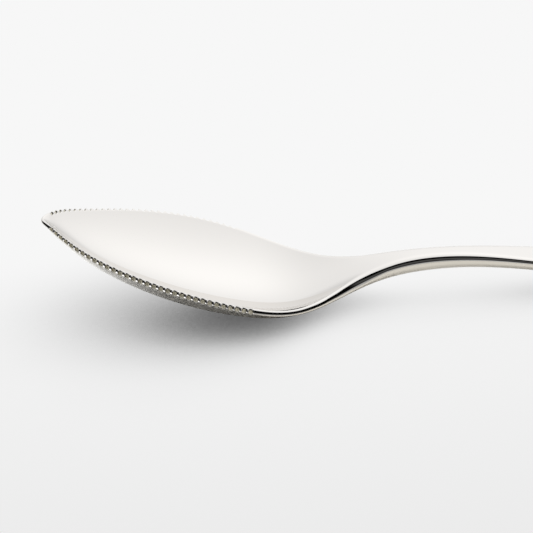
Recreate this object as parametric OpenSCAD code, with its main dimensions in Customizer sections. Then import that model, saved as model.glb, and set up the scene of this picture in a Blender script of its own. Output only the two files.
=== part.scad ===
// A grapefruit spoon: a pointed bowl with saw teeth in both edges, a slim neck and a flat handle.
// Its tip points towards -X, its hollow faces +Z, and it lies on z = 0 as it does on a table.
// The spoon is one forging. Its three regions meet face to face where one shape turns into the next.

/* [Whole spoon] */
// Length from the tip of the bowl to the end of the handle
overall_length = 165; // [150:1:185]

/* [Bowl] */
// Length from the tip of the bowl to the start of the neck
bowl_length = 52.5; // [46:0.5:58]
// Width across the widest part of the bowl
bowl_width = 31; // [26:0.5:36]
// Depth of the hollow below the rim, at its deepest
dish_depth = 6.5; // [4:0.1:8]
// Height of the underside of the tip above the table
tip_rise = 17.6; // [12:0.2:22]
// Thickness of the metal at the rim
rim_thickness = 1.05; // [0.8:0.05:1.5]
// Thickness of the metal in the middle of the bowl
floor_thickness = 1.35; // [1:0.05:2]

/* [Saw teeth] */
// Distance from one tooth to the next, along the rim
tooth_pitch = 1.225; // [1.1:0.025:1.5]
// Width of the notch between two teeth
notch_width = 0.7; // [0.4:0.05:0.9]
// Depth of each notch, in from the rim
notch_depth = 0.6; // [0.45:0.05:0.8]
// Number of notches in each edge
notch_count = 32; // [8:1:34]
// Distance along the rim from the tip to the first notch
first_notch = 3.4; // [2.5:0.1:6]

/* [Neck] */
// Length from the end of the bowl to the start of the handle
neck_length = 27; // [22:0.5:34]
// Width of the neck at its slimmest
neck_width = 4.3; // [3:0.1:6]
// Thickness of the neck at its thickest
neck_thickness = 3.1; // [2.4:0.1:4]
// Height of the underside of the neck above the table, at the top of its arch
neck_rise = 5.55; // [3:0.1:12]

/* [Handle] */
// Width across the widest part of the handle
handle_width = 17; // [12:0.5:22]
// Thickness of the handle along its middle
handle_thickness = 2.1; // [1.6:0.1:3]
// Thickness of the handle at its edges
handle_edge = 1.4; // [1:0.1:2]

/* [Hidden] */

// How far the rounded edge stands out, for each unit of half its thickness
bulge_share = 0.9;
// Spaces between points across the hollow, and round each edge
across = 16;
around = 6;
// Places between one station and the next at which a cross-section is drawn
rings_per_station = 4;
// How far in from the two ends the first and last cross-sections lie, as a share of the way to the next station
end_inset_share = 0.1;
// Samples from which the length of the rim is summed
rim_samples = 120;
// How far a cutter reaches past the metal that it cuts
overrun = 1;
// Facets of a notch's round root
notch_facets = 16;

half_bowl = bowl_width / 2;
half_neck = neck_width / 2;
half_handle = handle_width / 2;
handle_length = overall_length - bowl_length - neck_length;

// The bowl's stations from the tip back. Each row holds shares of the bowl's length, of half its width, of the
// rise of its tip, and of the depth of its hollow.
bowl_shares = [
    [0.016, 0.13, 0.985, 0.06],
    [0.055, 0.33, 0.86, 0.27],
    [0.145, 0.585, 0.605, 0.58],
    [0.29, 0.84, 0.355, 0.87],
    [0.45, 0.99, 0.155, 1.03],
    [0.605, 1.01, 0.03, 0.97],
    [0.74, 0.905, -0.017, 0.71],
    [0.85, 0.69, 0.04, 0.4]
];
// The neck's stations. Each row holds shares of the neck's length, of the way from its own width to the bowl's,
// of its rise, of the depth of the hollow, and of the way from the bowl's thickness to its own.
neck_shares = [
    [-0.095, 0.345, 0.4, 0.15, 0.33],
    [0.1, 0.13, 0.71, 0.02, 0.74],
    [0.31, 0.03, 0.92, 0, 0.98],
    [0.555, 0, 1.02, 0, 1]
];
// The handle's stations. Each row holds shares of the handle's length, of the way from the neck's width to its
// own, of the neck's rise, and of the way from its own thickness to the neck's.
handle_shares = [
    [-0.05, 0.025, 1, 0.8],
    [0.05, 0.12, 0.85, 0.48],
    [0.17, 0.28, 0.62, 0.22],
    [0.31, 0.465, 0.42, 0.07],
    [0.465, 0.65, 0.25, 0],
    [0.62, 0.82, 0.12, 0],
    [0.77, 0.965, 0.04, 0],
    [0.9, 1.045, 0, 0],
    [0.982, 0.7, 0, 0]
];

function mix(a, b, share) = a + (b - a) * share;

// Every station as a row of sizes: place along the spoon, half the width, height of the underside, depth of the
// hollow, thickness at the edge, and thickness in the middle.
bowl_stations = [
    for (row = bowl_shares)
        [
            row[0] * bowl_length,
            row[1] * half_bowl,
            row[2] * tip_rise,
            row[3] * dish_depth,
            rim_thickness,
            mix(rim_thickness, floor_thickness, min(row[3], 1))
        ]
];
neck_stations = [
    for (row = neck_shares)
        [
            bowl_length + row[0] * neck_length,
            mix(half_neck, half_bowl, row[1]),
            row[2] * neck_rise,
            row[3] * dish_depth,
            mix(rim_thickness, neck_thickness, row[4]),
            mix(floor_thickness, neck_thickness, row[4])
        ]
];
handle_stations = [
    for (row = handle_shares)
        [
            bowl_length + neck_length + row[0] * handle_length,
            mix(half_neck, half_handle, row[1]),
            row[2] * neck_rise,
            0,
            mix(handle_edge, neck_thickness, row[3]),
            mix(handle_thickness, neck_thickness, row[3])
        ]
];
inner_stations = concat(bowl_stations, neck_stations, handle_stations);

// The curve starts at the tip and stops at the end of the handle when the station there lies half as far outside
// it as the next station lies inside.
next_to_tip = inner_stations[0];
next_to_end = inner_stations[len(inner_stations) - 1];
tip_share = 1.02;
tip_station = [-next_to_tip[0] / 2, 0, tip_share * tip_rise, 0, rim_thickness, rim_thickness];
end_station = [
    overall_length + (overall_length - next_to_end[0]) / 2,
    0, 0, 0, handle_edge, handle_thickness
];
stations = concat([tip_station], inner_stations, [end_station]);
last = len(stations) - 1;

// A station past each end mirrors the one inside it, so that the outline turns round the end squarely.
function mirrored(row) = [row[0], -row[1], row[2], row[3], row[4], row[5]];
net = concat([mirrored(next_to_tip)], stations, [mirrored(next_to_end)]);

// A smooth cubic curve through the net: t counts stations from the tip.
function weights(f) = [
    (1 - f) ^ 3,
    3 * f ^ 3 - 6 * f ^ 2 + 4,
    -3 * f ^ 3 + 3 * f ^ 2 + 3 * f + 1,
    f ^ 3
] / 6;
function station(t) =
    let (i = min(floor(t), last - 1))
    weights(t - i) * [for (k = [0 : 3]) net[i + k]];

// The regions meet half way between two stations, in the blends at the two ends of the neck.
bowl_end = len(bowl_shares) + 1.5;
neck_end = bowl_end + len(neck_shares);

// The edge is half an ellipse, turned so that it runs smoothly into the hollow above and the underside below.
function ring(t) =
    let (q = station(t))
    let (x = q[0] - overall_length / 2, half = q[1], keel = q[2], dish = q[3], edge = q[4], middle = q[5])
    let (rise = edge / 2, bulge = bulge_share * min(rise, half), flat = half - bulge)
    let (bed = keel + middle, centre = bed + dish - rise)
    let (inner = atan(2 * dish / half * bulge / rise))
    let (outer = 90 - atan(2 * (centre - rise - keel) / half * bulge / rise))
    let (in_y = flat - bulge * sin(inner), in_z = centre + rise * cos(inner))
    let (out_y = flat + bulge * cos(outer), out_z = centre - rise * sin(outer))
    let (turn = 90 + inner + outer)
    let (hollow = [
        for (i = [0 : across])
            let (v = 2 * i / across - 1)
            [x, in_y * v, bed + (in_z - bed) * v ^ 2]
    ])
    let (far_edge = [
        for (i = [1 : around - 1])
            let (a = 90 + inner - turn * i / around)
            [x, flat + bulge * cos(a), centre + rise * sin(a)]
    ])
    let (underside = [
        for (i = [0 : across])
            let (v = 1 - 2 * i / across)
            [x, out_y * v, keel + (out_z - keel) * v ^ 2]
    ])
    let (near_edge = [
        for (i = [around - 1 : -1 : 1])
            let (a = 90 + inner - turn * i / around)
            [x, -flat - bulge * cos(a), centre + rise * sin(a)]
    ])
    concat(hollow, far_edge, underside, near_edge);

// Triangles that close a cross-section: a strip between hollow and underside, and a fan in each rounded edge
opposite = 2 * across + around;
end_faces = concat(
    [
        for (i = [0 : across - 1])
            each [[i, opposite - i, opposite - i - 1], [i, opposite - i - 1, i + 1]]
    ],
    [for (i = [across + 1 : across + around - 1]) [across, i + 1, i]],
    [for (i = [opposite : opposite + around - 2]) [0, i + 1, i]]
);

// A solid skinned over the cross-sections from one place on the curve to another
module skin(from, to) {
    steps = ceil((to - from) * rings_per_station);
    rings = [for (s = [0 : steps]) ring(mix(from, to, s / steps))];
    size = len(rings[0]);
    sides = [
        for (s = [0 : steps - 1])
            for (i = [0 : size - 1])
                let (a = s * size + i, b = s * size + (i + 1) % size)
                each [[a, b, b + size], [a, b + size, a + size]]
    ];
    far_end = [for (f = end_faces) [for (k = [2 : -1 : 0]) steps * size + f[k]]];
    polyhedron([for (r = rings) each r], concat(sides, end_faces, far_end), convexity = 6);
}

// Points along the middle of the rim, and the distance of each from the tip
rim_places = [for (i = [0 : rim_samples]) bowl_end * i / rim_samples];
rim_points = [
    for (t = rim_places)
        let (q = station(t))
        [q[0] - overall_length / 2, q[1], q[2] + q[5] + q[3] - q[4] / 2]
];
rim_steps = [for (i = [1 : rim_samples]) norm(rim_points[i] - rim_points[i - 1])];
function total(list, count) = count == 0 ? 0 : list[count - 1] + total(list, count - 1);
place_at_distance = [for (i = [0 : rim_samples]) [total(rim_steps, i), rim_places[i]]];

// One notch's cutter at a place on the far rim: a round root, opening out past the edge
module notch(t) {
    here = station(t);
    ahead = station(t + 1 / rim_samples);
    heading = atan2(ahead[1] - here[1], ahead[0] - here[0]);
    top = here[2] + here[5] + here[3];
    root = notch_depth - notch_width / 2;
    translate([here[0] - overall_length / 2, here[1], top - here[4] - overrun])
        rotate([0, 0, heading])
            linear_extrude(here[4] + 2 * overrun)
                hull() {
                    translate([0, -root])
                        circle(d = notch_width, $fn = notch_facets);
                    translate([0, overrun])
                        square([notch_width, notch_width], center = true);
                }
}

module notches() {
    for (i = [0 : notch_count - 1])
        notch(lookup(first_notch + i * tooth_pitch, place_at_distance));
}

module bowl() {
    color([0.86, 0.85, 0.83])
        difference() {
            skin(end_inset_share, bowl_end);
            notches();
            mirror([0, 1, 0])
                notches();
        }
}

module neck() {
    color([0.8, 0.78, 0.75])
        skin(bowl_end, neck_end);
}

module handle() {
    color([0.86, 0.85, 0.83])
        skin(neck_end, last - end_inset_share);
}

bowl();
neck();
handle();
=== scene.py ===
"""A grapefruit spoon of polished steel, lying on a pale table in soft studio light."""

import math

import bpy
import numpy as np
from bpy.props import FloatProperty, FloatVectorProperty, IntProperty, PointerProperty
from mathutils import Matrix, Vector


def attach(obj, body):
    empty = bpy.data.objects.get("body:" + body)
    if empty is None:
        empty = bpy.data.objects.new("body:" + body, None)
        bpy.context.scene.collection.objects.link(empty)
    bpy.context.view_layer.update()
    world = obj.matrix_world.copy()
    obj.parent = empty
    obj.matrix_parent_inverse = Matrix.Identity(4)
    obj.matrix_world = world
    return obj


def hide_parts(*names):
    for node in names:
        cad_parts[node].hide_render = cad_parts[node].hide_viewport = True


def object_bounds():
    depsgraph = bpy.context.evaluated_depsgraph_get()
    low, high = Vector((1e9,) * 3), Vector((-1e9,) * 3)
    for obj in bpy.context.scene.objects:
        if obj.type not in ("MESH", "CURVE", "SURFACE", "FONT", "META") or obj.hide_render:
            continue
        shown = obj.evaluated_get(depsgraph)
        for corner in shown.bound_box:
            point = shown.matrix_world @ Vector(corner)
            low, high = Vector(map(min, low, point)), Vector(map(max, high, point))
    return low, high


bl_info = {
    "name": "Grapefruit Spoon",
    "version": (1, 0, 0),
    "blender": (4, 5, 0),
    "location": "View3D > Sidebar > Spoon",
    "description": "Builds a saw-toothed grapefruit spoon and its table around the packed model",
    "category": "Add Mesh",
}

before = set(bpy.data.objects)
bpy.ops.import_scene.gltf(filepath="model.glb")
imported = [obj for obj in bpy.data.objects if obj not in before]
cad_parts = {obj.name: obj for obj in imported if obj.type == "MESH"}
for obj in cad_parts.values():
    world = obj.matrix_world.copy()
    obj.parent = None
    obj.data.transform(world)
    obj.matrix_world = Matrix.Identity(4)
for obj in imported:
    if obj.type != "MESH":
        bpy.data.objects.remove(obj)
CAD_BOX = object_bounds()

MM = 0.001

# The bowl's stations from the tip back: shares of the bowl's length, of half its width, of the rise of its
# tip, and of the depth of its hollow
BOWL_SHARES = (
    (0.016, 0.13, 0.985, 0.06),
    (0.055, 0.33, 0.86, 0.27),
    (0.145, 0.585, 0.605, 0.58),
    (0.29, 0.84, 0.355, 0.87),
    (0.45, 0.99, 0.155, 1.03),
    (0.605, 1.01, 0.03, 0.97),
    (0.74, 0.905, -0.017, 0.71),
    (0.85, 0.69, 0.04, 0.4),
)
# The neck's stations: shares of the neck's length, of the way from its own width to the bowl's, of its rise,
# of the depth of the hollow, and of the way from the bowl's thickness to its own
NECK_SHARES = (
    (-0.095, 0.345, 0.4, 0.15, 0.33),
    (0.1, 0.13, 0.71, 0.02, 0.74),
    (0.31, 0.03, 0.92, 0, 0.98),
    (0.555, 0, 1.02, 0, 1),
)
# The handle's stations: shares of the handle's length, of the way from the neck's width to its own, of the
# neck's rise, and of the way from its own thickness to the neck's
HANDLE_SHARES = (
    (-0.05, 0.025, 1, 0.8),
    (0.05, 0.12, 0.85, 0.48),
    (0.17, 0.28, 0.62, 0.22),
    (0.31, 0.465, 0.42, 0.07),
    (0.465, 0.65, 0.25, 0),
    (0.62, 0.82, 0.12, 0),
    (0.77, 0.965, 0.04, 0),
    (0.9, 1.045, 0, 0),
    (0.982, 0.7, 0, 0),
)
# Height of the station past the tip, as a share of the tip's rise
TIP_SHARE = 1.02

# Where the neck starts and ends, in stations from the tip
NECK_START = len(BOWL_SHARES) + 1.5
NECK_END = NECK_START + len(NECK_SHARES)

# How far the rounded edge stands out, for each unit of half its thickness
BULGE_SHARE = 0.9
# Least half width from which the slopes at the edge are worked out, in thicknesses of the rim
LEAST_HALF = 2
# Least half width that a place across the spoon is divided by
SLIVER = 0.01 * MM
# Most of the half width that the edge's crest takes up
LIP_SHARE = 0.25
# Least that the edge's curve reaches in on the lower face, as a share of half its thickness
LOWER_SHARE = 1 / 3
# The ground edge of the bowl, from its outermost line in to its crest: how far in, as a share of how far the
# rounded edge reaches, and how high above the middle of the edge, as a share of half its thickness
GROUND_EDGE = ((0, -0.35), (0.15, 0.12), (0.65, 0.82), (1, 1))
# Where the ground edge starts to give way to the neck's rounded edge and where it has, as shares of the
# bowl's length
GROUND_END = (0.98, 1.12)
# Powers of the neck's and handle's rounded edge from its crest out to the rim, where 2 is an ellipse and
# less makes it flatter, at places along the neck as shares of its length
EDGE_POWERS = ((0, 1.5), (0.2, 2), (1, 2.2))
# How steeply a notch's bevel falls, the power of its fall, and the most of the metal that it takes
BEVEL_SLOPE = 2
BEVEL_POWER = 1.1
BEVEL_LIMIT = 0.4
# Breadth of the bevel at the rim, as a share of its breadth at the notch's root
BEVEL_START = 0.15
# Fall of the bevel on the lower face, as a share of its fall on the upper one
LOWER_BEVEL_SHARE = 0.5

# Counts of the mesh: samples of the curve, columns before the first notch, round each half notch, up each
# notch's side, along half a tooth, and rows from the band at the rim to the centre line
CURVE_SAMPLES = 20001
TIP_COLUMNS = 26
ROOT_COLUMNS = 4
SIDE_COLUMNS = 2
LAND_COLUMNS = 2
CENTRE_ROWS = 16
# Places of the rows in the band at the rim, as shares of its breadth
BAND_SHARES = (0.02, 0.045, 0.08, 0.12, 0.165, 0.22, 0.3, 0.4, 0.54, 0.72, 1)
# Places of the rows round the very edge of a tooth, as shares of the band's breadth
EDGE_SHARES = (0.009, 0.0025)
# How far in from the tip the columns start to reach the centre line, in breadths of the band, and how many
# times as far in from the handle's end they stop
TIP_FAN = 1.6
END_FAN = 3

# The traces of the polishing wheel, drawn out along the spoon, and the wider clouds in the polish
TRACE_STRETCH = (1, 9, 9)
TRACE_NOISE = {"Scale": 900, "Detail": 4, "Roughness": 0.6}
CLOUD_NOISE = {"Scale": 120, "Detail": 3, "Roughness": 0.5}
# Shares of the polish's roughness that are even, that the traces vary, and that the clouds vary
EVEN_SHARE = 0.7
TRACE_SHARE = 0.3
CLOUD_SHARE = 0.3
# Strength and depth of the traces as bumps
TRACE_STRENGTH = 0.02
TRACE_DEPTH = 0.01 * MM

# What the metal mirrors lies in directions given by azimuth, from the back round to the right, and by
# elevation, both in degrees. A ramp runs between two cosines of the angle from such a direction, or between
# two sines of the elevation.
# The softbox: its level, the share of it that is left low down, the ramp that brings the rest, and its
# brighter middle, whose spread is in radians
SOFTBOX_LEVEL = 0.9
SOFTBOX_LOW_SHARE = 0.8
SOFTBOX_RISE = (0, 0.28)
GLOW_LEVEL = 0.43
GLOW_DIRECTION = (35, 50)
GLOW_SPREAD = 0.6
# The softbox's front edge and its left edge: the directions that lie square to them on the dark room's side
FRONT_EDGE = (180, -21.8)
SIDE_EDGE = (217, -28)
EDGE_RAMP = (-0.01, 0.02)
# The dark room, and the haze across the middle of it on the handle's side
ROOM_LEVEL = 0.002
HAZE_LEVEL = 0.08
HAZE_DIRECTION = (165, 37)
HAZE_RAMP = (0.86, 0.96)
HAZE_BOTTOM = (0.3, 0.45)
HAZE_TOP = (0.6, 0.74)
# The pale surroundings low in front of the bowl, and the dimmer ones in front of the handle
FRONT_LEVEL = 1.8
FRONT_DIRECTION = (212, 0)
FRONT_RAMP = (0.78, 0.88)
FRONT_TOP = (0.15, 0.36)
LOW_LEVEL = 0.6
LOW_DIRECTION = (160, 0)
LOW_RAMP = (0.6, 0.85)
LOW_TOP = (0, 0.3)

# The table's reach from the spoon in metres, and its roughness and gloss
TABLE_REACH = 2
TABLE_ROUGHNESS = 0.9
TABLE_GLOSS = 0.1
# How bright the table looks, for the share of the slanting light that reaches it. The light slants by these
# amounts for each unit up, is followed for this far in metres, and is tested this often.
SHADOW_STOPS = (
    (0.14, 0.1), (0.25, 0.34), (0.35, 0.55), (0.45, 0.69), (0.6, 0.835), (0.75, 0.935), (0.87, 0.99), (1, 1),
)
SHADOW_SLANT = (0.6, 0.5, 0)
SHADOW_REACH = 1
SHADOW_SAMPLES = 16
# How bright the table looks from the front of the picture to the back, at places in metres
TABLE_STOPS = ((-0.08, 0.83), (-0.035, 0.875), (0, 0.905), (0.02, 0.93))
# Where the table that the metal mirrors changes, in metres: along the spoon from the bowl to the neck and
# from past the tip to beside the bowl, and in depth from before the bowl to under it and from the table's
# front to its back
NECK_SIDE = (-0.055, -0.035)
TIP_SIDE = (-0.16, -0.115)
UNDER_BOWL = (-0.032, -0.012)
TABLE_BACK = (-0.004, 0.004)

# The camera: the picture's side and the focal length in pixels, the sensor in millimetres, a point under the
# bowl and how far right of it and above it the middle of the picture lies, in millimetres, and the nearest
# and farthest that the camera sees, in metres
PICTURE = 533
FOCAL_PIXELS = 3300
SENSOR = 36
AIM = (-45.43, 0, 0)
RIGHT_OF_AIM = 1.17
ABOVE_AIM = 6.31
NEAREST = 0.01
FARTHEST = 20


def millimetres(name, value, description):
    """A length that the user can set, given in millimetres."""
    return FloatProperty(
        name=name, description=description, default=value * MM, min=0, subtype="DISTANCE", unit="LENGTH"
    )


class SpoonSizes(bpy.types.PropertyGroup):
    """Sizes of the spoon"""

    overall_length: millimetres("Overall length", 165, "From the tip of the bowl to the end of the handle")
    bowl_length: millimetres("Bowl length", 52.5, "From the tip of the bowl to the start of the neck")
    bowl_width: millimetres("Bowl width", 31, "Across the widest part of the bowl")
    dish_depth: millimetres("Dish depth", 6.5, "Depth of the hollow below the rim, at its deepest")
    tip_rise: millimetres("Tip rise", 17.6, "Height of the underside of the tip above the table")
    rim_thickness: millimetres("Rim thickness", 1.05, "Thickness of the metal at the rim")
    floor_thickness: millimetres("Floor thickness", 1.35, "Thickness of the metal in the middle of the bowl")
    neck_length: millimetres("Neck length", 27, "From the end of the bowl to the start of the handle")
    neck_width: millimetres("Neck width", 4.3, "Width of the neck at its slimmest")
    neck_thickness: millimetres("Neck thickness", 3.1, "Thickness of the neck at its thickest")
    neck_rise: millimetres("Neck rise", 5.55, "Height of the underside of the neck at the top of its arch")
    handle_width: millimetres("Handle width", 17, "Across the widest part of the handle")
    handle_thickness: millimetres("Handle thickness", 2.1, "Thickness of the handle along its middle")
    handle_edge: millimetres("Handle edge", 1.4, "Thickness of the handle at its edges")


class ToothSizes(bpy.types.PropertyGroup):
    """Sizes of the saw teeth"""

    pitch: millimetres("Pitch", 1.225, "From one tooth to the next, along the rim")
    width: millimetres("Notch width", 0.7, "Width of the notch between two teeth")
    depth: millimetres("Notch depth", 0.6, "Depth of each notch, in from the rim")
    start: millimetres("First notch", 3.4, "Along the rim from the tip to the first notch")
    bevel: millimetres("Bevel", 0.2, "Breadth of the bevel round the root of a notch")
    band: millimetres("Band", 1.6, "Breadth of the finely meshed band along the rim")
    spacing: millimetres("Spacing", 0.5, "Spacing of the mesh along the smooth part of the rim")
    count: IntProperty(name="Notches", description="Number of notches in each edge", default=32, min=1)


class SteelFinish(bpy.types.PropertyGroup):
    """Finish of the polished steel"""

    colour: FloatVectorProperty(
        name="Colour", description="Colour of the polished steel", subtype="COLOR",
        default=(0.74, 0.722, 0.7),
    )
    # The notches' walls are rougher as cut steel, and their colour is darker than the polish as painted
    # shade in the notches
    cut_and_shade_colour: FloatVectorProperty(
        name="Shade", description="Colour of the cut steel in the notches", subtype="COLOR",
        default=(0.62, 0.59, 0.5),
    )
    roughness: FloatProperty(
        name="Roughness", description="Roughness of the polish", default=0.03, min=0, max=1
    )
    cut_roughness: FloatProperty(
        name="Cut roughness", description="Roughness of the cut steel in the notches", default=0.25,
        min=0, max=1,
    )


class StageSettings(bpy.types.PropertyGroup):
    """Table, light and camera"""

    table_colour: FloatVectorProperty(
        name="Table colour", description="Colour of the table in the metal", subtype="COLOR",
        default=(0.86, 0.83, 0.755),
    )
    bright_colour: FloatVectorProperty(
        name="Bright colour", description="Colour in the metal of the table's bright back", subtype="COLOR",
        default=(0.98, 0.98, 0.96),
    )
    shaded_colour: FloatVectorProperty(
        name="Shaded colour", description="Colour in the metal of the table in front of the bowl",
        subtype="COLOR", default=(0.27, 0.265, 0.235),
    )
    dark_colour: FloatVectorProperty(
        name="Dark colour", description="Colour in the metal of the table past the tip", subtype="COLOR",
        default=(0.01, 0.01, 0.01),
    )
    backdrop: FloatProperty(
        name="Backdrop", description="Brightness of the bare backdrop", default=0.92, min=0
    )
    lamp_power: FloatProperty(
        name="Lamp power", description="Power of the overhead lamp", default=8.5, min=0, unit="POWER"
    )
    lamp_width: millimetres("Lamp width", 1200, "Width of the overhead lamp")
    lamp_front: millimetres("Lamp front", 240, "How far the overhead lamp reaches in front of the spoon")
    lamp_back: millimetres("Lamp back", 960, "How far the overhead lamp reaches behind the spoon")
    lamp_height: millimetres("Lamp height", 600, "Height of the overhead lamp above the table")
    ambient: FloatProperty(
        name="Ambient", description="Strength of the even light from all round", default=0.12, min=0
    )
    azimuth: FloatProperty(
        name="Azimuth", description="Turn of the camera round the spoon", default=math.radians(-6),
        subtype="ANGLE",
    )
    elevation: FloatProperty(
        name="Elevation", description="Angle at which the camera looks down", default=math.radians(29),
        subtype="ANGLE",
    )
    distance: millimetres("Distance", 569, "From the camera to the middle of the picture")


def station_rows(sizes):
    """Every station as a row of sizes: place along the spoon, half the width, height of the underside, depth
    of the hollow, thickness at the edge, and thickness in the middle. A mirrored row past each end rounds
    that end."""
    half_bowl, half_neck, half_handle = sizes.bowl_width / 2, sizes.neck_width / 2, sizes.handle_width / 2
    neck_end = sizes.bowl_length + sizes.neck_length
    handle_length = sizes.overall_length - neck_end

    def mix(a, b, share):
        return a + (b - a) * share

    rows = []
    for along, width, rise, depth in BOWL_SHARES:
        rows.append((
            along * sizes.bowl_length, width * half_bowl,
            rise * sizes.tip_rise, depth * sizes.dish_depth,
            sizes.rim_thickness,
            mix(sizes.rim_thickness, sizes.floor_thickness, min(depth, 1)),
        ))
    for along, width, rise, depth, thick in NECK_SHARES:
        rows.append((
            sizes.bowl_length + along * sizes.neck_length, mix(half_neck, half_bowl, width),
            rise * sizes.neck_rise, depth * sizes.dish_depth,
            mix(sizes.rim_thickness, sizes.neck_thickness, thick),
            mix(sizes.floor_thickness, sizes.neck_thickness, thick),
        ))
    for along, width, rise, thick in HANDLE_SHARES:
        rows.append((
            neck_end + along * handle_length, mix(half_neck, half_handle, width),
            rise * sizes.neck_rise, 0,
            mix(sizes.handle_edge, sizes.neck_thickness, thick),
            mix(sizes.handle_thickness, sizes.neck_thickness, thick),
        ))
    mirror = np.array((1, -1, 1, 1, 1, 1))
    first, final = np.array(rows[0]), np.array(rows[-1])
    past_tip, past_end = -first[0] / 2, sizes.overall_length + (sizes.overall_length - final[0]) / 2
    tip = (past_tip, 0, TIP_SHARE * sizes.tip_rise, 0, sizes.rim_thickness, sizes.rim_thickness)
    end = (past_end, 0, 0, 0, sizes.handle_edge, sizes.handle_thickness)
    return np.array([first * mirror, tip, *rows, end, final * mirror])


def spline(net, places):
    """The rows of the smooth cubic curve through the net at each place, and their slopes."""
    index = np.minimum(places.astype(int), len(net) - 4)
    f = (places - index)[:, None]
    weights = ((1 - f) ** 3, 3 * f ** 3 - 6 * f ** 2 + 4, -3 * f ** 3 + 3 * f ** 2 + 3 * f + 1, f ** 3)
    slopes = (-3 * (1 - f) ** 2, 9 * f ** 2 - 12 * f, -9 * f ** 2 + 6 * f + 3, 3 * f ** 2)
    rows = sum(w * net[index + k] for k, w in enumerate(weights)) / 6
    return rows, sum(w * net[index + k] for k, w in enumerate(slopes)) / 6


def running_length(points):
    """The distance from the first of the points to each of them, along the line that they make."""
    return np.concatenate([[0], np.cumsum(np.linalg.norm(np.diff(points, axis=0), axis=1))])


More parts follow.
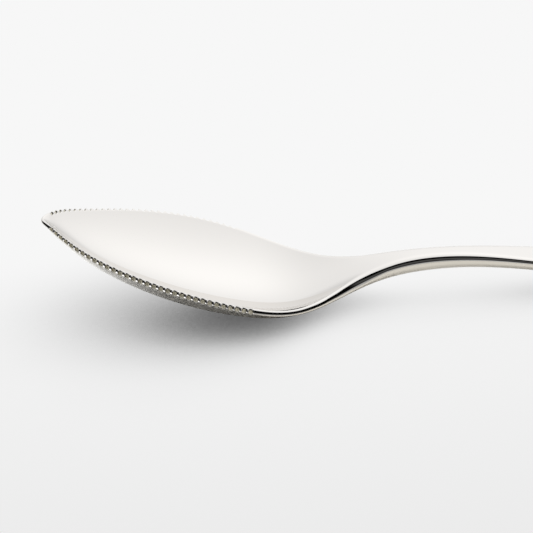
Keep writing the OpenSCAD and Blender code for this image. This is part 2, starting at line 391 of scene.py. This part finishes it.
class Forging:
    """The spoon's outline, its upper and lower faces, and its notched edge."""

    def __init__(self, sizes, teeth):
        self.sizes = sizes
        self.teeth = teeth
        self.net = station_rows(sizes)
        self.places = np.linspace(0, len(self.net) - 3, CURVE_SAMPLES)
        self.rows, _ = spline(self.net, self.places)
        x, half, keel, dish, edge, middle = self.rows.T
        self.plan_length = running_length(np.column_stack([x, half]))
        self.rim_length = running_length(np.column_stack([x, half, keel + middle + dish - edge / 2]))

    def rim(self, plan):
        """Points of the rim in plan at these distances along it, and the directions along and out of it."""
        rows, slopes = spline(self.net, np.interp(plan, self.plan_length, self.places))
        heading = slopes[:, :2] / np.linalg.norm(slopes[:, :2], axis=1)[:, None]
        return rows[:, :2], heading, np.column_stack([-heading[:, 1], heading[:, 0]])

    def edge_shape(self, half, keel, dish, edge, middle):
        """For sizes of a cross-section: the half width that its slopes go by, half the edge's thickness, how
        far the edge stands out, the height of its middle, and where its curve meets the hollow and the
        underside, as angles."""
        wide = np.maximum(half, LEAST_HALF * self.sizes.rim_thickness)
        rise = edge / 2
        centre = keel + middle + dish - rise
        inner = np.arctan(2 * dish / wide * BULGE_SHARE)
        outer = np.pi / 2 - np.arctan(2 * (centre - rise - keel) / wide * BULGE_SHARE)
        return wide, rise, BULGE_SHARE * rise, centre, inner, outer

    def rounding(self, plan):
        """Height of the middle of the edge, how far it stands out, the angle at which it meets the hollow,
        the power of its curve, how much of it is ground, and how far in it reaches on the lower face."""
        rows, _ = spline(self.net, np.interp(plan, self.plan_length, self.places))
        _, rise, bulge, centre, inner, outer = self.edge_shape(*rows.T[1:])
        along_neck = (rows[:, 0] - self.sizes.bowl_length) / self.sizes.neck_length
        power = np.interp(along_neck, *zip(*EDGE_POWERS))
        ground = np.interp(rows[:, 0] / self.sizes.bowl_length, GROUND_END, (1, 0))
        lower = np.maximum(bulge * (1 - np.cos(outer)), rise * LOWER_SHARE)
        return centre, bulge, inner, power, ground, lower

    def faces(self, points):
        """Heights of the hollow's face and of the underside at these points, before the edge is rounded."""
        x, across = points[..., 0], np.abs(points[..., 1])
        half, keel, dish, edge, middle = (np.interp(x, self.rows[:, 0], c) for c in self.rows.T[1:])
        wide, rise, bulge, centre, inner, outer = self.edge_shape(half, keel, dish, edge, middle)
        lip = np.minimum(bulge * (1 + np.sin(inner)), wide * LIP_SHARE)
        out = np.clip(across / np.maximum(half, SLIVER), 0, 1) ** 2
        climb = (dish - rise * (1 - np.cos(inner))) * (wide / (wide - lip)) ** 2
        under = (centre - rise * np.sin(outer) - keel) * (wide / (wide - bulge * (1 - np.cos(outer)))) ** 2
        return keel + middle + climb * out, keel + under * out

    def columns(self):
        """The mesh's columns from the rim inwards: for each, its outer end in plan, how deep that end lies
        in a notch, the place along the rim that it starts from, the one that its inner end faces, and its
        nearest notch. With them come the notches' centres in plan and the directions along and out of the
        rim there."""
        teeth = self.teeth
        radius = teeth.width / 2
        root = teeth.depth - radius
        distances = teeth.start + teeth.pitch * np.arange(teeth.count)
        centres = np.interp(distances, self.rim_length, self.plan_length)
        middles = (centres[1:] + centres[:-1]) / 2
        middles = np.concatenate([[2 * centres[0] - middles[0]], middles, [2 * centres[-1] - middles[-1]]])
        points, headings, outwards = self.rim(centres)
        parts = []

        def rim_columns(plan, aim, notch):
            starts, _, _ = self.rim(plan)
            parts.append((starts, np.zeros(len(plan)), plan, aim, np.full(len(plan), notch)))

        before_teeth = np.linspace(0, middles[0], TIP_COLUMNS, endpoint=False)
        rim_columns(before_teeth, before_teeth, 0)
        # Each notch's own columns: half a tooth, one side, the round root, the other side, and half a tooth.
        # The inner ends are spread evenly.
        turns = np.linspace(-np.pi / 2, np.pi / 2, 2 * ROOT_COLUMNS + 1)
        side = np.full(SIDE_COLUMNS, radius)
        down_side = root * np.arange(SIDE_COLUMNS) / SIDE_COLUMNS
        across = np.concatenate([-side, radius * np.sin(turns), side])
        inward = np.concatenate([down_side, root + radius * np.cos(turns), down_side[::-1]])
        land = np.arange(LAND_COLUMNS) / LAND_COLUMNS
        spread = np.arange(LAND_COLUMNS + SIDE_COLUMNS) / (LAND_COLUMNS + SIDE_COLUMNS)
        for k, centre in enumerate(centres):
            first, final = middles[k], middles[k + 1]
            before, after = centre - radius - first, final - centre - radius
            rim_columns(first + before * land, first + before * spread[:LAND_COLUMNS], k)
            aim = np.concatenate([
                first + before * spread[LAND_COLUMNS:],
                centre + radius * turns / (np.pi / 2),
                (final - after * spread[LAND_COLUMNS:])[::-1],
            ])
            starts = points[k] + across[:, None] * headings[k] - inward[:, None] * outwards[k]
            parts.append((starts, inward, centre + across, aim, np.full(len(aim), k)))
            rim_columns((final - after * land[1:])[::-1], (final - after * spread[1:LAND_COLUMNS])[::-1], k)
        total = self.plan_length[-1]
        past_teeth = np.linspace(middles[-1], total, int((total - middles[-1]) / teeth.spacing))
        rim_columns(past_teeth, past_teeth, teeth.count - 1)
        return [np.concatenate(column) for column in zip(*parts)], (points, headings, outwards)

    def plan_points(self, starts, depths, aims):
        """Points of the columns in plan, each column from the centre line out to its end, and how far in
        from the rim each point lies."""
        band, length = self.teeth.band, self.sizes.overall_length
        rim_points, _, outwards = self.rim(aims)
        inner_ends = rim_points - band * outwards
        x = rim_points[:, 0]
        fan = TIP_FAN * band
        spine = np.hypot(x, fan) - np.hypot(length - x, END_FAN * fan) + length - x
        centres = np.column_stack([spine, np.zeros_like(spine)])
        cut = depths[:, None] > 0
        rows = np.array(BAND_SHARES)
        band_shares = np.where(cut, (rows - rows[0]) / (1 - rows[0]), rows)
        edge_shares = np.where(cut, 0, (*EDGE_SHARES, 0))
        shares = np.concatenate([band_shares[:, ::-1], edge_shares], axis=1)[..., None]
        outer_part = starts[:, None] * (1 - shares) + inner_ends[:, None] * shares
        inward = np.linspace(1, 0, CENTRE_ROWS + 1)[None, :-1, None]
        inner_part = inner_ends[:, None] * (1 - inward) + centres[:, None] * inward
        from_rim = np.concatenate([
            band + np.linalg.norm(inner_part - inner_ends[:, None], axis=2),
            depths[:, None] * (1 - shares[..., 0]) + band * shares[..., 0],
        ], axis=1)
        return np.concatenate([inner_part, outer_part], axis=1), from_rim

    def edged(self, top, bottom, from_rim, feet):
        """The heights of the upper and lower face, brought together at the edge."""
        middle, bulge, inner, power, ground, lower = (v[:, None] for v in self.rounding(feet))
        # The edge climbs from the rim to its crest, and falls from there into the hollow
        lip = 1 + np.sin(inner)
        place = np.minimum(from_rim / bulge, lip)
        climb = (1 - ground) * (1 - np.clip(1 - place, 0, 1) ** power) ** (1 / power)
        climb = climb + ground * np.interp(place, *zip(*GROUND_EDGE))
        crest = climb * np.sqrt(1 - np.clip(place - 1, 0, 1) ** 2)
        top = middle + (top - middle) * crest / (np.cos(inner) + np.tan(inner) * (lip - place))
        rim = middle + ground * GROUND_EDGE[0][1] * bulge / BULGE_SHARE
        return top, rim + (bottom - rim) * np.sqrt(1 - np.clip(1 - from_rim / lower, 0, 1) ** 2)

    def bevelled(self, top, bottom, points, nearest, notches):
        """The heights of the upper and lower face with a bevel round each notch, broadest at its root."""
        teeth = self.teeth
        radius = teeth.width / 2
        centre, heading, outward = (a[nearest][:, None] for a in notches)
        across = np.abs(np.sum((points - centre) * heading, axis=2))
        deep = -np.sum((points - centre) * outward, axis=2)
        gap = np.hypot(across, np.maximum(deep - (teeth.depth - radius), 0)) - radius
        bevel = teeth.bevel * (BEVEL_START + (1 - BEVEL_START) * np.clip(deep / teeth.depth, 0, 1))
        most = np.minimum(BEVEL_SLOPE * bevel, BEVEL_LIMIT * (top - bottom))
        fall = np.clip(1 - gap / bevel, 0, 1) ** BEVEL_POWER * most
        return top - fall, bottom + fall * LOWER_BEVEL_SHARE

    def grid(self):
        """Points of the near half of the spoon, column by column, each from the middle of the hollow round
        the rim to the middle of the underside. The mask is 1 on the notches' cut walls, which get a rougher
        finish and painted shade, and 0 elsewhere."""
        (starts, depths, feet, aims, nearest), notches = self.columns()
        points, from_rim = self.plan_points(starts, depths, aims)
        top, bottom = self.edged(*self.faces(points), from_rim, feet)
        top, bottom = self.bevelled(top, bottom, points, nearest, notches)
        # In a notch the outermost rows run down the cut wall, from each face to half way between the two
        cut = depths[:, None] > 0
        wall = len(EDGE_SHARES) + 1
        ledge = top.shape[1] - wall - 1
        down = np.linspace(0, 0.5, wall + 1) * (top[:, ledge] - bottom[:, ledge])[:, None]
        top[:, ledge:] = np.where(cut, top[:, ledge, None] - down, top[:, ledge:])
        bottom[:, ledge:] = np.where(cut, bottom[:, ledge, None] + down, bottom[:, ledge:])
        mask = np.zeros_like(top)
        mask[:, ledge:] = cut
        path = np.concatenate([np.dstack([points, top]), np.dstack([points, bottom])[:, -2::-1]], axis=1)
        # The middle of the spoon's length lies at x = 0, and the near half has negative y
        path[..., 0] -= self.sizes.overall_length / 2
        path[..., 1] *= -1
        return path, np.concatenate([mask, mask[:, -2::-1]], axis=1), feet


def whole_surface(sizes, teeth):
    """Points, normals, the mask of the notches' cut walls that carries their painted shade, the point
    numbers of both halves, their faces, and the columns' places in stations, for the whole closed surface."""
    forging = Forging(sizes, teeth)
    path, mask, feet = forging.grid()
    columns, rows = path.shape[:2]
    near = np.arange(columns * rows).reshape(columns, rows)
    # The two halves share their points on the spoon's centre plane
    on_plane = np.zeros((columns, rows), bool)
    on_plane[[0, -1]] = True
    on_plane[:, [0, -1]] = True
    path[on_plane, 1] = 0
    far = np.where(on_plane, near, near + columns * rows)
    points = np.concatenate([path.reshape(-1, 3), path.reshape(-1, 3) * (1, -1, 1)])
    # Nothing stands past the solids' box
    points = np.clip(points, CAD_BOX[0], CAD_BOX[1])
    masks = np.tile(mask.ravel(), 2)
    near_faces = np.stack([near[:-1, :-1], near[:-1, 1:], near[1:, 1:], near[1:, :-1]], axis=2)
    far_faces = np.stack([far[:-1, :-1], far[1:, :-1], far[1:, 1:], far[:-1, 1:]], axis=2)
    places = np.interp(feet, forging.plan_length, forging.places)
    mesh = bpy.data.meshes.new("whole")
    mesh.from_pydata(points.tolist(), [], np.concatenate([near_faces, far_faces]).reshape(-1, 4).tolist())
    normals = np.zeros(len(points) * 3, np.float32)
    mesh.vertex_normals.foreach_get("vector", normals)
    bpy.data.meshes.remove(mesh)
    return points, normals.reshape(-1, 3), masks, near, far, near_faces, far_faces, places


def section_cap(near, far, flip):
    """Faces that close one cut across the spoon: on each side, strips from the hollow to the underside."""
    last = len(near) - 1
    faces = []
    for side, turned in ((near, flip), (far, not flip)):
        for a in range(last // 2):
            corners = list(dict.fromkeys((side[a], side[a + 1], side[last - a - 1], side[last - a])))
            faces.append(corners[::-1] if turned else corners)
    return faces


def build_region(name, node, start, end):
    """One region of the forging as a closed mesh, from one place on the curve to another."""
    scene = bpy.context.scene
    surface = whole_surface(scene.spoon_sizes, scene.spoon_teeth)
    points, normals, masks, near, far, near_faces, far_faces, places = surface
    first, final = np.searchsorted(places, (start, end))
    final = min(final, len(places) - 1)
    faces = np.concatenate([near_faces[first:final], far_faces[first:final]]).reshape(-1, 4).tolist()
    if first > 0:
        faces += section_cap(near[first].tolist(), far[first].tolist(), True)
    if final < len(places) - 1:
        faces += section_cap(near[final].tolist(), far[final].tolist(), False)
    used = sorted({v for face in faces for v in face})
    order = {v: i for i, v in enumerate(used)}
    mesh = bpy.data.meshes.new(name)
    mesh.from_pydata(points[used].tolist(), [], [[order[v] for v in face] for face in faces])
    mesh.polygons.foreach_set("use_smooth", [True] * len(mesh.polygons))
    # Marks the notches' cut walls, for their rougher finish and for their painted shade
    cut = mesh.attributes.new("cut_steel", "FLOAT", "POINT")
    cut.data.foreach_set("value", masks[used].astype(np.float32))
    mesh.normals_split_custom_set_from_vertices(normals[used].tolist())
    mesh.validate()
    piece = bpy.data.objects.new(name, mesh)
    scene.collection.objects.link(piece)
    mesh.materials.append(polished_steel(scene.spoon_steel))
    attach(piece, "root")
    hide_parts(node)


class Socket:
    """One output in a node tree. Sums, differences and products of outputs and numbers add Math nodes."""

    # The Mix node's output that holds a colour
    MIXED_COLOUR = 2

    def __init__(self, tree, output=None):
        self.tree = tree
        self.output = output

    def node(self, kind, settings=None, inputs=None, output=0):
        """Adds a node, with its settings made before its inputs, and gives one of its outputs."""
        node = self.tree.nodes.new(kind)
        for name, value in (settings or {}).items():
            if name == "stops":
                ramp = node.color_ramp.elements
                while len(ramp) < len(value):
                    ramp.new(1)
                for element, (position, level) in zip(ramp, value):
                    element.position = position
                    element.color = (level, level, level, 1)
            else:
                setattr(node, name, value)
        for name, value in (inputs or {}).items():
            if isinstance(value, Socket):
                self.tree.links.new(value.output, node.inputs[name])
            else:
                node.inputs[name].default_value = value
        return Socket(self.tree, node.outputs[output] if node.outputs else None)

    def maths(self, operation, *values):
        """One Math node."""
        return self.node("ShaderNodeMath", {"operation": operation}, dict(enumerate(values)))

    def mix(self, share, first, second, blend="MIX"):
        """Two colours mixed by the share of the second."""
        settings = {"data_type": "RGBA", "blend_type": blend}
        inputs = {"Factor": share, "A": first, "B": second}
        return self.node("ShaderNodeMix", settings, inputs, self.MIXED_COLOUR)

    def ramp(self, low, high):
        """0 up to low, 1 from high on, and a smooth rise between them."""
        settings = {"interpolation_type": "SMOOTHSTEP"}
        return self.node("ShaderNodeMapRange", settings, {"Value": self, "From Min": low, "From Max": high})

    def __add__(self, other):
        return self.maths("ADD", self, other)

    __radd__ = __add__

    def __sub__(self, other):
        return self.maths("SUBTRACT", self, other)

    def __rsub__(self, other):
        return self.maths("SUBTRACT", other, self)

    def __mul__(self, other):
        return self.maths("MULTIPLY", self, other)

    __rmul__ = __mul__


def fresh_tree(owner):
    """An empty node tree in a material or world."""
    owner.use_nodes = True
    owner.node_tree.nodes.clear()
    return Socket(owner.node_tree)


def polished_steel(finish):
    """Polished steel with faint traces of the polishing wheel, and rougher cut steel in the notches, whose
    darker colour is painted shade.
    """
    material = bpy.data.materials.get("polished_steel")
    if material:
        return material
    material = bpy.data.materials.new("polished_steel")
    tree = fresh_tree(material)
    place = tree.node("ShaderNodeTexCoord", output="Object")
    stretched = tree.node("ShaderNodeMapping", {}, {"Vector": place, "Scale": TRACE_STRETCH})
    traces = tree.node("ShaderNodeTexNoise", {}, {"Vector": stretched, **TRACE_NOISE})
    clouds = tree.node("ShaderNodeTexNoise", {}, {"Vector": place, **CLOUD_NOISE})
    cut = tree.node("ShaderNodeAttribute", {"attribute_name": "cut_steel"}, output="Fac")
    # The notches' walls take the darker colour: painted shade in the notches
    colour = tree.mix(cut, (*finish.colour, 1), (*finish.cut_and_shade_colour, 1))
    roughness = finish.roughness * (EVEN_SHARE + TRACE_SHARE * traces + CLOUD_SHARE * clouds)
    roughness = roughness + cut * (finish.cut_roughness - finish.roughness)
    bump = tree.node("ShaderNodeBump", {}, {
        "Height": traces, "Strength": TRACE_STRENGTH, "Distance": TRACE_DEPTH,
    })
    surface = tree.node("ShaderNodeBsdfPrincipled", {}, {
        "Base Color": colour, "Metallic": 1, "Roughness": roughness, "Normal": bump,
    })
    tree.node("ShaderNodeOutputMaterial", {}, {"Surface": surface})
    return material


def pale_table(stage):
    """The table's surface: one look for the metal to mirror, and one for the camera to see."""
    material = bpy.data.materials.new("pale_table")
    tree = fresh_tree(material)
    # In the metal the table is bright behind the spoon and under the bowl, beige in front of the neck and
    # handle, shaded in front of the bowl, and dark past the tip
    place = tree.node("ShaderNodeTexCoord", output="Object")
    along = tree.node("ShaderNodeSeparateXYZ", {}, {"Vector": place}, "X")
    depth = tree.node("ShaderNodeSeparateXYZ", {}, {"Vector": place}, "Y")
    beside_bowl = 1 - along.ramp(*NECK_SIDE)
    before_tip = along.ramp(*TIP_SIDE)
    under_bowl = beside_bowl * depth.ramp(*UNDER_BOWL) * before_tip
    bright = tree.maths("MAXIMUM", depth.ramp(*TABLE_BACK), under_bowl)
    in_metal = tree.mix(beside_bowl, (*stage.table_colour, 1), (*stage.shaded_colour, 1))
    in_metal = tree.mix(bright, in_metal, (*stage.bright_colour, 1))
    in_metal = tree.mix(1 - before_tip, in_metal, (*stage.dark_colour, 1))
    lit = tree.node("ShaderNodeBsdfPrincipled", {}, {
        "Base Color": in_metal, "Roughness": TABLE_ROUGHNESS, "Specular IOR Level": TABLE_GLOSS,
    })
    # To the camera the table shows only how much of the light that slants in from the back right reaches it
    upright = tree.node("ShaderNodeNewGeometry", output="Normal")
    slanted = tree.node("ShaderNodeVectorMath", {"operation": "ADD"}, {0: upright, 1: SHADOW_SLANT})
    slanted = tree.node("ShaderNodeVectorMath", {"operation": "NORMALIZE"}, {0: slanted})
    reached = tree.node(
        "ShaderNodeAmbientOcclusion", {"samples": SHADOW_SAMPLES},
        {"Distance": SHADOW_REACH, "Normal": slanted}, "AO",
    )
    shadow = tree.node("ShaderNodeValToRGB", {"stops": SHADOW_STOPS}, {"Fac": reached})
    front, back = TABLE_STOPS[0][0], TABLE_STOPS[-1][0]
    stops = [((position - front) / (back - front), level) for position, level in TABLE_STOPS]
    from_front = (depth - front) * (1 / (back - front))
    open_table = tree.node("ShaderNodeValToRGB", {"stops": stops}, {"Fac": from_front})
    seen = tree.node("ShaderNodeEmission", {}, {"Color": tree.mix(1, open_table, shadow, "MULTIPLY")})
    camera = tree.node("ShaderNodeLightPath", output="Is Camera Ray")
    surface = tree.node("ShaderNodeMixShader", {}, {"Fac": camera, 1: lit, 2: seen})
    tree.node("ShaderNodeOutputMaterial", {}, {"Surface": surface})
    return material


def build_table(stage):
    """A pale matt table that reaches far past the spoon."""
    corners = [(x * TABLE_REACH, y * TABLE_REACH, 0) for x, y in ((-1, -1), (1, -1), (1, 1), (-1, 1))]
    mesh = bpy.data.meshes.new("table")
    mesh.from_pydata(corners, [], [(0, 1, 2, 3)])
    table = bpy.data.objects.new("table", mesh)
    bpy.context.scene.collection.objects.link(table)
    mesh.materials.append(pale_table(stage))


def build_lamp(stage):
    """One large soft lamp overhead, reaching farther behind the spoon than in front of it."""
    lamp = bpy.data.lights.new("softbox", "AREA")
    lamp.shape = "RECTANGLE"
    lamp.size, lamp.size_y = stage.lamp_width, stage.lamp_back + stage.lamp_front
    lamp.energy = stage.lamp_power
    holder = bpy.data.objects.new("softbox", lamp)
    holder.location = (0, (stage.lamp_back - stage.lamp_front) / 2, stage.lamp_height)
    holder.visible_glossy = False
    holder.visible_camera = False
    bpy.context.scene.collection.objects.link(holder)


def build_world(stage):
    """Even light for the table, and a softbox, a dark room and pale surroundings for the metal to mirror."""
    world = bpy.data.worlds.new("studio")
    bpy.context.scene.world = world
    tree = fresh_tree(world)
    direction = tree.node("ShaderNodeTexCoord", output="Generated")

    def facing(azimuth, elevation):
        """How nearly a direction agrees with the one at this azimuth and elevation."""
        turn, lift = math.radians(azimuth), math.radians(elevation)
        axis = (math.sin(turn) * math.cos(lift), math.cos(turn) * math.cos(lift), math.sin(lift))
        settings = {"operation": "DOT_PRODUCT"}
        return tree.node("ShaderNodeVectorMath", settings, {0: direction, 1: axis}, "Value")

    height = facing(0, 90)
    glow = tree.maths("EXPONENT", (facing(*GLOW_DIRECTION) - 1) * (1 / GLOW_SPREAD ** 2))
    rise = SOFTBOX_LOW_SHARE + (1 - SOFTBOX_LOW_SHARE) * height.ramp(*SOFTBOX_RISE)
    softbox = (SOFTBOX_LEVEL + GLOW_LEVEL * glow) * rise
    haze = height.ramp(*HAZE_BOTTOM) - height.ramp(*HAZE_TOP)
    haze = haze * facing(*HAZE_DIRECTION).ramp(*HAZE_RAMP)
    in_front = facing(*FRONT_DIRECTION).ramp(*FRONT_RAMP)
    by_handle = facing(*LOW_DIRECTION).ramp(*LOW_RAMP)
    front = FRONT_LEVEL * in_front * (1 - height.ramp(*FRONT_TOP))
    low = LOW_LEVEL * (1 - in_front) * by_handle * (1 - height.ramp(*LOW_TOP))
    room = ROOM_LEVEL + HAZE_LEVEL * haze + front + low
    in_room = tree.maths("MAXIMUM", *(facing(*edge).ramp(*EDGE_RAMP) for edge in (FRONT_EDGE, SIDE_EDGE)))
    mirrored = softbox * (1 - in_room) + room * in_room
    glossy = tree.node("ShaderNodeLightPath", output="Is Glossy Ray")
    seen = tree.node("ShaderNodeLightPath", output="Is Camera Ray")
    strength = glossy * mirrored + (1 - glossy) * (seen * stage.backdrop + (1 - seen) * stage.ambient)
    surface = tree.node("ShaderNodeBackground", {}, {"Color": (1, 1, 1, 1), "Strength": strength})
    tree.node("ShaderNodeOutputWorld", {}, {"Surface": surface})


def build_camera(stage):
    """The camera, looking down along the spoon's side with the tip at the left."""
    turn, lift = stage.azimuth, stage.elevation
    back = Vector((math.sin(turn) * math.cos(lift), -math.cos(turn) * math.cos(lift), math.sin(lift)))
    right = Vector((math.cos(turn), math.sin(turn), 0))
    middle = Vector(AIM) * MM + right * (RIGHT_OF_AIM * MM) + back.cross(right) * (ABOVE_AIM * MM)
    camera = bpy.data.cameras.new("camera")
    camera.lens = FOCAL_PIXELS * SENSOR / PICTURE
    camera.sensor_width = SENSOR
    camera.clip_start, camera.clip_end = NEAREST, FARTHEST
    holder = bpy.data.objects.new("camera", camera)
    holder.location = middle + back * stage.distance
    holder.rotation_mode = "QUATERNION"
    holder.rotation_quaternion = (-back).to_track_quat("-Z", "Y")
    bpy.context.scene.collection.objects.link(holder)
    bpy.context.scene.camera = holder


class SPOON_OT_bowl(bpy.types.Operator):
    """Build the pointed bowl with saw teeth in both edges"""

    bl_idname = "spoon.bowl"
    bl_label = "Bowl"

    def execute(self, context):
        build_region("polished_bowl", "bowl", 0, NECK_START)
        return {"FINISHED"}


class SPOON_OT_neck(bpy.types.Operator):
    """Build the slim arched neck"""

    bl_idname = "spoon.neck"
    bl_label = "Neck"

    def execute(self, context):
        build_region("polished_neck", "neck", NECK_START, NECK_END)
        return {"FINISHED"}


class SPOON_OT_handle(bpy.types.Operator):
    """Build the flat handle with its rounded end"""

    bl_idname = "spoon.handle"
    bl_label = "Handle"

    def execute(self, context):
        build_region("polished_handle", "handle", NECK_END, math.inf)
        return {"FINISHED"}


class SPOON_OT_stage(bpy.types.Operator):
    """Build the table, the light and the camera"""

    bl_idname = "spoon.stage"
    bl_label = "Stage"

    def execute(self, context):
        stage = context.scene.spoon_stage
        build_table(stage)
        build_lamp(stage)
        build_world(stage)
        build_camera(stage)
        context.scene.view_settings.view_transform = "Standard"
        return {"FINISHED"}


OPERATORS = (SPOON_OT_bowl, SPOON_OT_neck, SPOON_OT_handle, SPOON_OT_stage)


class SPOON_PT_panel(bpy.types.Panel):
    """Sizes, finish and building steps of the spoon"""

    bl_idname = "SPOON_PT_panel"
    bl_label = "Grapefruit Spoon"
    bl_space_type = "VIEW_3D"
    bl_region_type = "UI"
    bl_category = "Spoon"

    def draw(self, context):
        for settings in SETTINGS:
            group = getattr(context.scene, settings)
            for name in group.__annotations__:
                self.layout.prop(group, name)
        for operator in OPERATORS:
            self.layout.operator(operator.bl_idname)


SETTINGS = {
    "spoon_sizes": SpoonSizes,
    "spoon_teeth": ToothSizes,
    "spoon_steel": SteelFinish,
    "spoon_stage": StageSettings,
}
CLASSES = (*SETTINGS.values(), *OPERATORS, SPOON_PT_panel)


def register():
    for cls in CLASSES:
        bpy.utils.register_class(cls)
    for name, cls in SETTINGS.items():
        setattr(bpy.types.Scene, name, PointerProperty(type=cls))


def unregister():
    for name in SETTINGS:
        delattr(bpy.types.Scene, name)
    for cls in reversed(CLASSES):
        bpy.utils.unregister_class(cls)


def main():
    register()
    bpy.ops.spoon.bowl()
    bpy.ops.spoon.neck()
    bpy.ops.spoon.handle()
    bpy.ops.spoon.stage()


if __name__ == "__main__":
    main()
